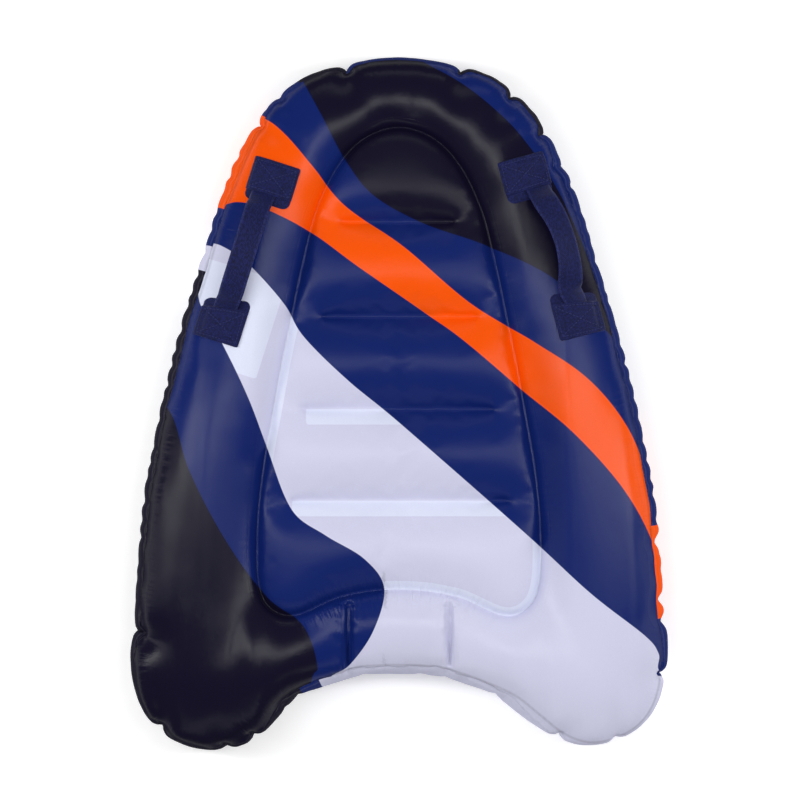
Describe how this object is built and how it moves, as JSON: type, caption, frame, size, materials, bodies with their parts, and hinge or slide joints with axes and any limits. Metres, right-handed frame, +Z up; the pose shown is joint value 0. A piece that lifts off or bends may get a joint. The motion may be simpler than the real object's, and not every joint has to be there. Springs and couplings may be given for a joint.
{
  "type": "inflatable bodyboard",
  "caption": "Inflatable fabric bodyboard: an air ring round a quilted centre pad, a notched tail, webbing grab handles and an air valve underneath.",
  "frame": {"origin": "centre of the bounding box at its base, where the board lies on a floor", "axes": "+X to the rider's right, +Y to the nose, +Z up"},
  "size_m": [0.664, 0.85, 0.163],
  "materials": {
    "top_fabric": "satin coated nylon with a colour-block print",
    "wall_fabric": "satin coated nylon, puckered at its seams",
    "bottom_fabric": "satin coated nylon",
    "baffle_fabric": "matt coated cloth",
    "patch_fabric": "matt heavy cloth",
    "webbing": "matt woven webbing",
    "valve_plastic": "moulded satin",
    "cap_plastic": "moulded satin",
    "silicone": "matt silicone"
  },
  "bodies": {
    "hull": {"top_panel": "top_fabric", "side_wall": "wall_fabric", "bottom_panel": "bottom_fabric", "ring_baffle": "baffle_fabric", "cross_baffle_1": "baffle_fabric", "cross_baffle_2": "baffle_fabric", "cross_baffle_3": "baffle_fabric", "cross_baffle_4": "baffle_fabric", "tail_tie_left": "baffle_fabric", "tail_tie_right": "baffle_fabric", "left_front_backing": "baffle_fabric", "left_front_base": "patch_fabric", "left_front_patch": "patch_fabric", "left_front_web_end": "webbing", "left_rear_backing": "baffle_fabric", "left_rear_base": "patch_fabric", "left_rear_patch": "patch_fabric", "left_rear_web_end": "webbing", "right_front_backing": "baffle_fabric", "right_front_base": "patch_fabric", "right_front_patch": "patch_fabric", "right_front_web_end": "webbing", "right_rear_backing": "baffle_fabric", "right_rear_base": "patch_fabric", "right_rear_patch": "patch_fabric", "right_rear_web_end": "webbing", "valve_base": "valve_plastic"},
    "left_grip": {"left_strap": "webbing"},
    "right_grip": {"right_strap": "webbing"},
    "valve_seal": {"valve_gasket": "silicone"},
    "valve_body": {"valve_insert": "valve_plastic", "valve_tether": "cap_plastic"},
    "valve_disc": {"valve_flap": "silicone"},
    "valve_stopper": {"valve_cap": "cap_plastic"}
  },
  "joints": [
    {"name": "left_handle_swing", "type": "hinge", "parent": "hull", "child": "left_grip", "pos_m": [-0.1865, 0.1925, 0.14778], "axis": [0.3358, 0.9418, 0.0141], "range_deg": [-35, 35]},
    {"name": "right_handle_swing", "type": "hinge", "parent": "hull", "child": "right_grip", "pos_m": [0.1865, 0.1925, 0.14778], "axis": [-0.3358, 0.9418, 0.0148], "range_deg": [-35, 35]},
    {"name": "valve_seal_lift", "type": "slide", "parent": "hull", "child": "valve_seal", "axis": [0, 0, -1], "range_m": [0, 0.0045]},
    {"name": "valve_insert_turn", "type": "hinge", "parent": "valve_seal", "child": "valve_body", "pos_m": [0, 0.049, 0.013], "axis": [0, 0, -1], "range_deg": [0, 540]},
    {"name": "valve_flap_lift", "type": "slide", "parent": "valve_body", "child": "valve_disc", "axis": [0, 0, 1], "range_m": [0, 0.003], "stiffness_N_per_m": 20},
    {"name": "valve_cap_pull", "type": "slide", "parent": "valve_body", "child": "valve_stopper", "axis": [0, 0, -1], "range_m": [0, 0.005]}
  ],
  "couplings": [
    {"joint": "valve_seal_lift", "follows": "valve_insert_turn", "m_per_rad": 0.00047746}
  ]
}
